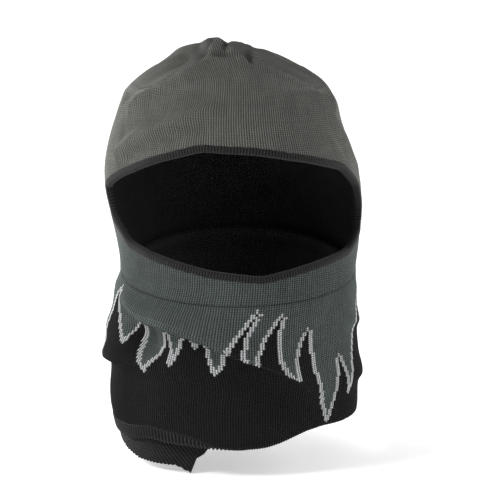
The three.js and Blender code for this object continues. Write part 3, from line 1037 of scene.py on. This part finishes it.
class Finish:
    """A material under construction: one Principled surface and a method that adds any other node."""

    def __init__(self, name, roughness, sheen=0.1, specular=0.1):
        self.material = bpy.data.materials.new(name)
        self.material.use_nodes = True
        self.tree = self.material.node_tree
        self.surface = self.tree.nodes["Principled BSDF"]
        self.surface.inputs["Roughness"].default_value = roughness
        self.surface.inputs["Specular IOR Level"].default_value = specular
        self.surface.inputs["Sheen Weight"].default_value = sheen
        self.surface.inputs["Sheen Roughness"].default_value = 0.5

    def node(self, kind, settings, *values, **named):
        """Adds a node of a type with its settings, then fills its sockets in order or by name with values or links."""
        node = self.tree.nodes.new(kind)
        for key, value in settings.items():
            setattr(node, key, value)
        for key, value in [*enumerate(values), *((key.replace("_", " "), v) for key, v in named.items())]:
            if isinstance(value, Reading):
                value = value.socket
            if isinstance(value, bpy.types.NodeSocket):
                self.tree.links.new(value, node.inputs[key])
            elif value is not None:
                node.inputs[key].default_value = value
        return node

    def bump(self, height, strength, distance):
        """Tilts the surface by a reading's slope."""
        bump = self.node("ShaderNodeBump", {}, Strength=strength, Distance=distance, Height=height)
        self.tree.links.new(bump.outputs["Normal"], self.surface.inputs["Normal"])

    def stitches(self):
        """Wale and course counts from the Knit map, as two readings."""
        place = self.node("ShaderNodeUVMap", {"uv_map": "Knit"})
        split = self.node("ShaderNodeSeparateXYZ", {}, place.outputs["UV"])
        return Reading(self, split.outputs["X"]), Reading(self, split.outputs["Y"])

    def mottle(self, scale, detail=3.0):
        """Noise on the object's own coordinates, about 0 to 1."""
        place = self.node("ShaderNodeTexCoord", {})
        noise = self.node("ShaderNodeTexNoise", {}, Vector=place.outputs["Object"], Scale=scale, Detail=detail)
        return Reading(self, noise.outputs[0])

    def noise_on(self, across, up):
        """Noise on two readings, about 0 to 1."""
        place = self.node("ShaderNodeCombineXYZ", {}, across, up)
        noise = self.node("ShaderNodeTexNoise", {}, Vector=place.outputs[0], Scale=1.0, Detail=2.0)
        return Reading(self, noise.outputs[0])

    def shaded(self, colour, shade):
        """Makes the surface a colour, plain or from a socket, times a grey shade."""
        grey = self.node("ShaderNodeCombineXYZ", {}, shade, shade, shade)
        if not isinstance(colour, bpy.types.NodeSocket):
            colour = tuple(colour)[:3]
        times = self.node("ShaderNodeVectorMath", {"operation": "MULTIPLY"}, colour, grey.outputs[0])
        self.tree.links.new(times.outputs[0], self.surface.inputs["Base Color"])


def varied(reading, share):
    """A reading of 0 to 1 as a factor that varies by a share, half below one and half above it."""
    return reading * share + (1 - share * 0.5)


def knit_finish(name, colour, contrast=1.65):
    """Jersey knit: each wale is a ridge -cos(u), and its stitches are slanted legs cos(v + |u|), the hollows painted
    darker as shade. Slow noise on the wale and course counts makes some wales and some stretches of yarn lighter.
    Without a colour it takes its colour from the piece's colour attribute: each yarn's own, and painted shade in the
    greys."""
    finish = Finish(name, KNIT_ROUGHNESS, 0.03)
    wale, course = finish.stitches()
    off_middle = (wale.fraction() - 0.5).size()
    ridge = wale.cosine() * -0.5 + 0.5
    leg = (course + off_middle * 1.1).cosine() * 0.5 + 0.5
    height = ridge * 0.62 + leg * 0.38
    fuzz = finish.mottle(1100.0)
    heather = finish.mottle(150.0, 4.0)
    streak = finish.noise_on(wale * 0.8, course * 0.06)
    band = finish.noise_on(wale * 0.02, course * 0.7)
    patches = finish.mottle(30.0, 2.0)
    # Painted shade: the knit's hollows are darker by the stitch height; the noise factors are the yarn's own tone.
    shade = varied(height, contrast) * varied(heather, 0.3) * varied(fuzz, 0.5)
    shade = shade * varied(streak, 0.5) * varied(band, 0.2) * varied(patches, 0.3)
    if colour is None:
        colour = finish.node("ShaderNodeAttribute", {"attribute_name": "Yarn"}).outputs["Color"]
    finish.shaded(colour, shade)
    finish.bump(height + fuzz * 0.25, 1.0, 0.0008)
    return finish.material


def rib_finish(name, colour):
    """Ribbed knit, whose ribs are in its shape and painted too, with lighter ridges and darker valleys as painted
    shade; the small slanted stitches and the yarn's fuzz are drawn as well.
    """
    finish = Finish(name, KNIT_ROUGHNESS, 0.06)
    wale, course = finish.stitches()
    leg = (course * 0.7 + wale * 0.5).cosine() * 0.5 + 0.5
    ridge = wale.cosine() * 0.5 + 0.5
    fuzz = finish.mottle(900.0)
    heather = finish.mottle(160.0, 4.0)
    # Painted shade: the ribs' valleys are darker and their ridges lighter.
    finish.shaded(colour, varied(ridge, 1.3) * varied(leg, 0.2) * varied(heather, 0.4) * varied(fuzz, 0.5))
    finish.bump(leg * 0.6 + fuzz * 0.4, 0.6, 0.0003)
    return finish.material


def thread_finish(name, colour):
    """Twisted sewing thread: fine noise only."""
    finish = Finish(name, 0.75, 0.15)
    fuzz = finish.mottle(1400.0)
    finish.shaded(colour, varied(fuzz, 0.4))
    return finish.material


def tape_finish(name, colour):
    """Woven tape: fine crossing threads from the product of two cosines of the place in space, the hollows between them
    painted slightly darker as shade.
    """
    finish = Finish(name, 0.6, 0.1)
    place = finish.node("ShaderNodeTexCoord", {})
    split = finish.node("ShaderNodeSeparateXYZ", {}, place.outputs["Object"])
    warp = (Reading(finish, split.outputs["X"]) * 1500.0).cosine()
    weft = (Reading(finish, split.outputs["Z"]) * 1500.0).cosine()
    weave = warp * weft * 0.5 + 0.5
    # Painted shade: the weave's hollows are slightly darker.
    finish.shaded(colour, weave * 0.1 + 0.92)
    finish.bump(weave, 0.4, 0.0001)
    return finish.material


# ---- Settings ----


def colour_setting(name, description, default):
    """A colour that a user can change."""
    return FloatVectorProperty(
        name=name, description=description, subtype="COLOR", size=3, min=0, max=1, default=default
    )


def setting(name, description, default, **kind):
    """A number that a user can change, never below zero."""
    return FloatProperty(name=name, description=description, min=0, default=default, **kind)


def length_setting(name, description, default):
    """A length in metres that a user can change."""
    return setting(name, description, default, unit="LENGTH")


class BALACLAVA_PG_cloth(PropertyGroup):
    """Sizes of the cloth and its folds."""

    outer_thickness: length_setting("Outer thickness", "Thickness of the outer knit", 0.0018)
    lining_thickness: length_setting("Lining thickness", "Thickness of the lining", 0.0014)
    wale_height: length_setting("Wale height", "How far each wale stands out", 0.00026)
    fold_reach: length_setting("Fold reach", "How far the neck's main fold stands out", 0.0105)
    fold_tuck: length_setting("Fold tuck", "How far the cloth runs up again under the main fold", 0.009)


class BALACLAVA_PG_colours(PropertyGroup):
    """Colours of the yarn and thread; the neck's grey holds painted shade."""

    hood: colour_setting("Hood", "Grey yarn of the hood", (0.108, 0.109, 0.1))
    # The neck's grey is the hood's yarn painted darker and cooler as shade, where the cloth faces down.
    neck: colour_setting("Neck", "Blue-grey yarn of the neck", (0.064, 0.076, 0.073))
    pale: colour_setting("Outline", "Pale yarn round the flames", (0.36, 0.365, 0.37))
    black: colour_setting("Flames", "Black yarn of the flames", (0.0075, 0.0075, 0.0077))
    lining: colour_setting("Lining", "Black yarn of the lining", (0.03, 0.03, 0.03))
    rib: colour_setting("Ribs", "Black yarn of the ribbed edges", (0.0165, 0.0165, 0.0162))
    thread: colour_setting("Thread", "Grey sewing thread", (0.062, 0.066, 0.062))
    tape: colour_setting("Label", "Off-white woven tape", (0.66, 0.65, 0.6))


class BALACLAVA_PG_stage(PropertyGroup):
    """The camera, the floor and the lights."""

    distance: length_setting("Camera distance", "From the camera to the point it looks at", 1.0)
    elevation: setting("Elevation", "Camera angle above level", np.radians(8.0), subtype="ANGLE")
    key_power: setting("Key light", "Power of the main light", 23.0, unit="POWER")
    floor: colour_setting("Floor", "Colour of the floor and backdrop", (0.9, 0.9, 0.9))
    floor_glow: setting("Floor glow", "Light that the floor gives off", 0.45)


# ---- Operators ----


def cloth_colour(context, name):
    """A colour from the settings."""
    return getattr(context.scene.balaclava_colours, name)


def cloth_sizes(context):
    """Thickness of the outer knit and of the lining, and the wales' height, in millimetres."""
    cloth = context.scene.balaclava_cloth
    return cloth.outer_thickness / MM, cloth.lining_thickness / MM, cloth.wale_height / MM


def lining_finish(context):
    """The black jersey that both linings share."""
    return bpy.data.materials.get("BlackKnit") or knit_finish("BlackKnit", cloth_colour(context, "lining"), 0.7)


def band_finish(context):
    """The black ribbing that the hem and the lining's band share."""
    return bpy.data.materials.get("BlackRib") or rib_finish("BlackRib", cloth_colour(context, "rib"))


def declare(piece, node):
    """The piece rides on the object and stands in for its CAD node, which is hidden."""
    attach(piece, "root")
    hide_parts(node)


def plain_uv(rows, columns, wales, courses):
    """Knit map corners of a closed grid: wales round it and courses up it."""
    wale = np.linspace(-wales / 2, wales / 2, columns + 1)
    course = np.linspace(0, courses, rows)
    return grid_corners(np.stack(np.broadcast_arrays(wale[None], course[:, None]), -1))


class BALACLAVA_OT_add_hood(Operator):
    """Adds the grey hood cloth with its gathered crown"""

    bl_idname = "balaclava.add_hood"
    bl_label = "Add hood"

    def execute(self, context):
        outer, _, wale = cloth_sizes(context)
        # The hood's grey and the darker neck grey that its lower part is painted towards as shade.
        yarn_and_shade = [np.array(cloth_colour(context, name)) for name in ("hood", "neck")]
        material = knit_finish("GreyKnit", None)
        hood = hood_layer("hood_cloth", COLUMNS, HOOD_ROWS, 0, outer, material, wale, SEAM_HALF_GAP, yarn_and_shade)
        declare(hood, "hood_shell")
        return {"FINISHED"}


class BALACLAVA_OT_add_hood_lining(Operator):
    """Adds the hood's black lining"""

    bl_idname = "balaclava.add_hood_lining"
    bl_label = "Add hood lining"

    def execute(self, context):
        outer, inner, _ = cloth_sizes(context)
        depth = outer + 3 * GAP
        columns, rows, material = LINING_COLUMNS, HOOD_LINING_ROWS, lining_finish(context)
        lining = hood_layer("hood_inner_cloth", columns, rows, depth, inner, material, 0, GAP)
        declare(lining, "hood_lining")
        return {"FINISHED"}


def add_neck_cloth(context):
    """The neck cloth from its foot up to the seam, with the flames in its yarn."""
    outer, _, wale = cloth_sizes(context)
    points, lengths = neck_profile(columns_round(COLUMNS)[:-1], context.scene.balaclava_cloth)
    seam = lengths[-1] - RIB_WIDTH
    rows = np.linspace(1, 0, NECK_ROWS + 1)[:, None]
    grid = along_profile(points, lengths, (seam - SEAM_HALF_GAP) * rows)
    # The flames' ground is the neck's grey, painted darker than the hood's as shade.
    colours = [np.array(cloth_colour(context, name)) for name in ("neck", "pale", "black")]
    yarn = np.repeat(flame_stitches(NECK_ROWS - 0.5 - np.arange(NECK_ROWS), colours), 2, axis=1)
    yarn = np.broadcast_to(yarn.reshape(-1, 1, 3), (NECK_ROWS * COLUMNS, 4, 3))
    relief = np.broadcast_to(wale_relief(COLUMNS, wale), grid.shape[:2])
    uv = plain_uv(NECK_ROWS + 1, COLUMNS, WALES, NECK_ROWS)
    neck = tube_piece("neck_cloth", grid, outer, knit_finish("FlameKnit", None), relief, uv, yarn)
    declare(neck, "neck_shell")


def add_hem(context):
    """The hem's ribbed band below the neck cloth, whose ribs end softly at its edges, and the thread above it."""
    outer, _, _ = cloth_sizes(context)
    columns = STEPS_PER_RIB * HEM_RIBS
    angle = columns_round(columns)[:-1]
    points, lengths = neck_profile(angle, context.scene.balaclava_cloth)
    seam = lengths[-1] - RIB_WIDTH
    rows = np.linspace(1, 0, HEM_BAND_ROWS)[:, None]
    grid = along_profile(points, lengths, seam + SEAM_HALF_GAP + (RIB_WIDTH - SEAM_HALF_GAP) * rows)
    ribs = HEM_RIB_HEIGHT * np.cos(np.radians(angle + 180) * HEM_RIBS)
    taper = np.sin(np.linspace(0.25, np.pi - 0.5, HEM_BAND_ROWS))[:, None] ** 0.5
    relief = np.broadcast_to(ribs[None] * taper, grid.shape[:2])
    uv = plain_uv(HEM_BAND_ROWS, columns, HEM_RIBS, 7)
    band = tube_piece("hem_band", grid, outer, band_finish(context), relief, uv)
    declare(band, "hem_rib")

    line = along_profile(points, lengths, seam[None])[0][::2]
    outward = bag_outward(angle, place_of(points[-1, :, 2]))[::2]
    material = thread_finish("BlackThread", cloth_colour(context, "rib"))
    thread = tube_loop("hem_thread", line - outward * HEM_THREAD_SINK, outward, *HEM_THREAD, material)
    declare(thread, "hem_seam")


class BALACLAVA_OT_add_neck(Operator):
    """Adds the neck cloth with its folds and flames, its ribbed edge and the thread between them"""

    bl_idname = "balaclava.add_neck"
    bl_label = "Add neck"

    def execute(self, context):
        add_neck_cloth(context)
        add_hem(context)
        return {"FINISHED"}


def lining_points(angle, height, depth):
    """The lining of the neck: the plain bag a depth inside, drawn in as far as any outer cloth that may be tucked up
    to this height, and further in towards its foot where the outer cloth turns under it."""
    base = bag(angle, place_of(height))
    outward = unit(bag_outward(angle, place_of(height)) * LEVELLED)
    least, more = HEM_RECESS
    recess = (least + more * smoothstep(0, 4, at_angle(HEM_TURNED, angle))) * smoothstep(*RECESS_HEIGHTS, height)
    drawn = np.minimum.reduce([pocket(angle, height - lower) for lower in TUCKS_BELOW])
    move = drawn * LINING_FOLLOWS + np.minimum(unevenness(base), 0) * NECK_WAVES - recess - depth
    return base + outward * move[..., None]


def add_neck_inner(context):
    """The neck's lining, which laps behind the hood's lining at its top."""
    outer, inner, _ = cloth_sizes(context)
    angle = columns_round(LINING_COLUMNS)[:-1]
    foot, top = LINING_TOP + GAP, plane_height(NECK_SEAM, angle) + LINING_LAP
    height = foot + (top - foot) * np.linspace(0, 1, NECK_LINING_ROWS)[:, None]
    angles = np.broadcast_to(angle, height.shape)
    lap = (inner + 3 * GAP) * smoothstep(top - 3 * LINING_LAP, top - LINING_LAP, height)
    grid = lining_points(angles, height, outer + 2 * GAP + lap)
    uv = plain_uv(NECK_LINING_ROWS, LINING_COLUMNS, WALES, LINING_COURSES)
    lining = tube_piece("neck_inner_cloth", grid, inner, lining_finish(context), np.zeros(grid.shape[:2]), uv)
    declare(lining, "neck_lining")


def add_lining_band(context):
    """The lining's ribbed band, whose ribs slant and which hangs out low on one side."""
    outer, inner, _ = cloth_sizes(context)
    angle = columns_round(STEPS_PER_RIB * LINING_RIBS)
    foot = at_angle(LINING_LINE, angle, 0)
    height = foot + (LINING_TOP - foot) * np.linspace(0, 1, LINING_BAND_ROWS)[:, None]
    count = angle * LINING_RIBS / FULL_TURN + (height - LINING_TOP) * LINING_SLANT
    ribs = LINING_RIB_HEIGHT * np.cos(2 * np.pi * count[:, :-1])
    uv = grid_corners(np.stack([count, height / COURSE], -1))
    angles = np.broadcast_to(angle, height.shape)[:, :-1]
    grid = lining_points(angles, height[:, :-1], outer + 2 * GAP)
    band = tube_piece("lining_band", grid, inner, band_finish(context), ribs, uv)
    declare(band, "lining_rib")


class BALACLAVA_OT_add_neck_lining(Operator):
    """Adds the neck's black lining and its ribbed band, which hangs out low on one side"""

    bl_idname = "balaclava.add_neck_lining"
    bl_label = "Add neck lining"

    def execute(self, context):
        add_neck_inner(context)
        add_lining_band(context)
        return {"FINISHED"}


class BALACLAVA_OT_add_binding(Operator):
    """Adds the ribbed binding round the face opening"""

    bl_idname = "balaclava.add_binding"
    bl_label = "Add face binding"

    def execute(self, context):
        outer, inner, _ = cloth_sizes(context)
        loop = opening_loop(BINDING_INSET, 1000)
        path, _ = on_hood(loop[:, 0], loop[:, 1], 0)
        length = np.linalg.norm(np.diff(path, axis=0, append=path[:1]), axis=1).sum()
        count = STEPS_PER_RIB * int(length / BINDING_RIB)
        steps = np.arange(count) * len(loop) / count
        angle, height = (np.interp(steps, np.arange(len(loop)), column, period=len(loop)) for column in loop.T)
        path, outward = on_hood(angle, height, -(outer + inner + GAP) / 2)
        swell = BINDING_SWELL * np.cos(2 * np.pi * np.arange(count) / STEPS_PER_RIB)
        material = rib_finish("BindingRib", cloth_colour(context, "rib"))
        binding = tube_loop("binding", path, outward, BINDING_WIDTH / 2, BINDING_HEIGHT / 2, 20, material, swell)
        declare(binding, "face_binding")
        return {"FINISHED"}


class BALACLAVA_OT_add_seams(Operator):
    """Adds the neck seam, the stitched line above the opening and the crown's seams"""

    bl_idname = "balaclava.add_seams"
    bl_label = "Add seams"

    def execute(self, context):
        thread = thread_finish("GreyThread", cloth_colour(context, "thread"))

        def sew(name, node, angle, height, stitch):
            """Sews a row of stitches along angles and heights of the hood."""
            lift, pitch, length, radius, slant = stitch
            path, outward = on_hood(angle, height, lift)
            row = stitch_row(name, path, outward, pitch, length, radius, thread, slant)
            declare(row, node)

        angle = columns_round(420)
        sew("neck_thread", "neck_seam", angle, plane_height(NECK_SEAM, angle), NECK_STITCH)
        angle = np.linspace(BROW_LINE[0][0], BROW_LINE[-1][0], 160)
        sew("brow_thread", "brow_stitch", angle, np.interp(angle, *np.array(BROW_LINE).T), BROW_STITCH)
        for index, line in enumerate(GATHERS, 1):
            line = np.array(sorted(line), float)
            height = np.linspace(line[0, 0] + 2, line[-1, 0] - 1, 60)
            angle = np.interp(height, line[:, 0], line[:, 1])
            sew(f"crown_thread_{index}", f"crown_seam_{index}", angle, height, CROWN_STITCH)
        return {"FINISHED"}


class BALACLAVA_OT_add_label(Operator):
    """Adds the blank label sewn inside the neck at the back"""

    bl_idname = "balaclava.add_label"
    bl_label = "Add label"

    def execute(self, context):
        outer, inner, _ = cloth_sizes(context)
        low, high = (np.array(corner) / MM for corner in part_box("care_label"))
        across = np.linspace(high[0], low[0], 13)[None, :]
        up = np.linspace(0, 1, 19)[:, None]
        height = low[2] + (high[2] - low[2]) * up + across * 0
        angle = 180 - across / MM_PER_DEGREE * 1.25 + up * 0
        flare = LABEL_FLARE * (1 - up) ** 2 + LABEL_RIPPLE * np.sin(across / 3.2 + up * 4)
        grid = lining_points(wrapped(angle), height, outer + inner + LABEL_CLEAR + flare)
        material = tape_finish("LabelTape", cloth_colour(context, "tape"))
        label = patch_piece("label_tape_blank", grid, LABEL_THICKNESS, material)
        declare(label, "care_label")
        return {"FINISHED"}


def area_light(name, place, target, size, power):
    """A round soft light at a place in metres, turned to a target."""
    light = bpy.data.lights.new(name, "AREA")
    light.shape, light.size, light.energy = "DISK", size, power
    lamp = bpy.data.objects.new(name, light)
    lamp.location = place
    lamp.rotation_euler = (Vector(target) - Vector(place)).to_track_quat("-Z", "Y").to_euler()
    bpy.context.scene.collection.objects.link(lamp)


# Name, place in metres from the head, size and share of the key light's power; then the room's light, the camera's
# lens in millimetres and the point it looks at, in metres from the head.
LIGHTS = [
    ("KeyLight", (-1.2, -0.72, 1.1), 0.5, 1.0),
    ("FillLight", (1.1, -1.2, 0.25), 1.2, 0.26),
    ("LeftRim", (-1.0, 0.45, 0.25), 0.6, 0.5),
    ("RightRim", (1.0, 0.5, 0.2), 0.6, 0.45),
]
ROOM_LIGHT = 0.24
LENS = 105
AIM = (0.0077, 0, -0.0245)


class BALACLAVA_OT_add_stage(Operator):
    """Adds the floor, the lights, the surrounding light and the camera"""

    bl_idname = "balaclava.add_stage"
    bl_label = "Add stage"

    def execute(self, context):
        stage = context.scene.balaclava_stage
        low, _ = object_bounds()
        depth = np.linspace(0, 1, 41)
        out = np.interp(depth, [0, 0.5, 1], [-2.0, 1.4, 2.2])
        rise = low.z - 0.0005 + 2.2 * np.clip((depth - 0.5) / 0.5, 0, 1) ** 2
        grid = np.stack(np.broadcast_arrays([[-2.4, 2.4]], out[:, None], rise[:, None]), -1) / MM
        quads = grid_quads(np.arange(2 * len(depth)).reshape(-1, 2))
        finish = Finish("PaleFloor", 0.9, 0.0)
        finish.surface.inputs["Base Color"].default_value = (*stage.floor, 1)
        finish.surface.inputs["Emission Color"].default_value = (*stage.floor, 1)
        finish.surface.inputs["Emission Strength"].default_value = stage.floor_glow
        make_piece("floor", grid.reshape(-1, 3), quads, finish.material)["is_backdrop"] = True

        head = Vector(HEAD * MM)
        target = head + Vector((0, 0, -0.03))
        for name, place, size, share in LIGHTS:
            area_light(name, target + Vector(place), target, size, stage.key_power * share)
        world = bpy.data.worlds.new("PaleRoom")
        world.use_nodes = True
        background = world.node_tree.nodes["Background"]
        background.inputs["Color"].default_value = (1, 1, 1, 1)
        background.inputs["Strength"].default_value = ROOM_LIGHT
        context.scene.world = world
        context.scene.view_settings.view_transform = "Standard"

        camera = bpy.data.objects.new("Camera", bpy.data.cameras.new("Camera"))
        camera.data.lens = LENS
        back = Vector((0, -np.cos(stage.elevation), np.sin(stage.elevation)))
        camera.location = head + Vector(AIM) + back * stage.distance
        camera.rotation_euler = (-back).to_track_quat("-Z", "Y").to_euler()
        context.scene.collection.objects.link(camera)
        context.scene.camera = camera
        return {"FINISHED"}


OPERATORS = (
    BALACLAVA_OT_add_hood,
    BALACLAVA_OT_add_hood_lining,
    BALACLAVA_OT_add_neck,
    BALACLAVA_OT_add_neck_lining,
    BALACLAVA_OT_add_binding,
    BALACLAVA_OT_add_seams,
    BALACLAVA_OT_add_label,
    BALACLAVA_OT_add_stage,
)


class BALACLAVA_PT_build(Panel):
    """Lists the steps that build the balaclava, and its settings"""

    bl_idname = "BALACLAVA_PT_build"
    bl_label = "Balaclava"
    bl_space_type = "VIEW_3D"
    bl_region_type = "UI"
    bl_category = "Balaclava"

    def draw(self, context):
        layout = self.layout
        for operator in OPERATORS:
            layout.operator(operator.bl_idname)
        for group in (getattr(context.scene, name) for name in GROUPS):
            box = layout.box()
            for name in group.bl_rna.properties.keys():
                if name not in ("rna_type", "name"):
                    box.prop(group, name)


GROUPS = {
    "balaclava_cloth": BALACLAVA_PG_cloth,
    "balaclava_colours": BALACLAVA_PG_colours,
    "balaclava_stage": BALACLAVA_PG_stage,
}


def register():
    """Adds the settings, the steps and the panel to Blender."""
    for name, group in GROUPS.items():
        bpy.utils.register_class(group)
        setattr(bpy.types.Scene, name, PointerProperty(type=group))
    for item in (*OPERATORS, BALACLAVA_PT_build):
        bpy.utils.register_class(item)


def unregister():
    """Takes them away again."""
    for item in (BALACLAVA_PT_build, *reversed(OPERATORS)):
        bpy.utils.unregister_class(item)
    for name, group in reversed(GROUPS.items()):
        delattr(bpy.types.Scene, name)
        bpy.utils.unregister_class(group)


def main():
    """Runs every step in order."""
    register()
    for operator in OPERATORS:
        name = operator.bl_idname.split(".")[1]
        getattr(bpy.ops.balaclava, name)()
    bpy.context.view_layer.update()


if __name__ == "__main__":
    main()
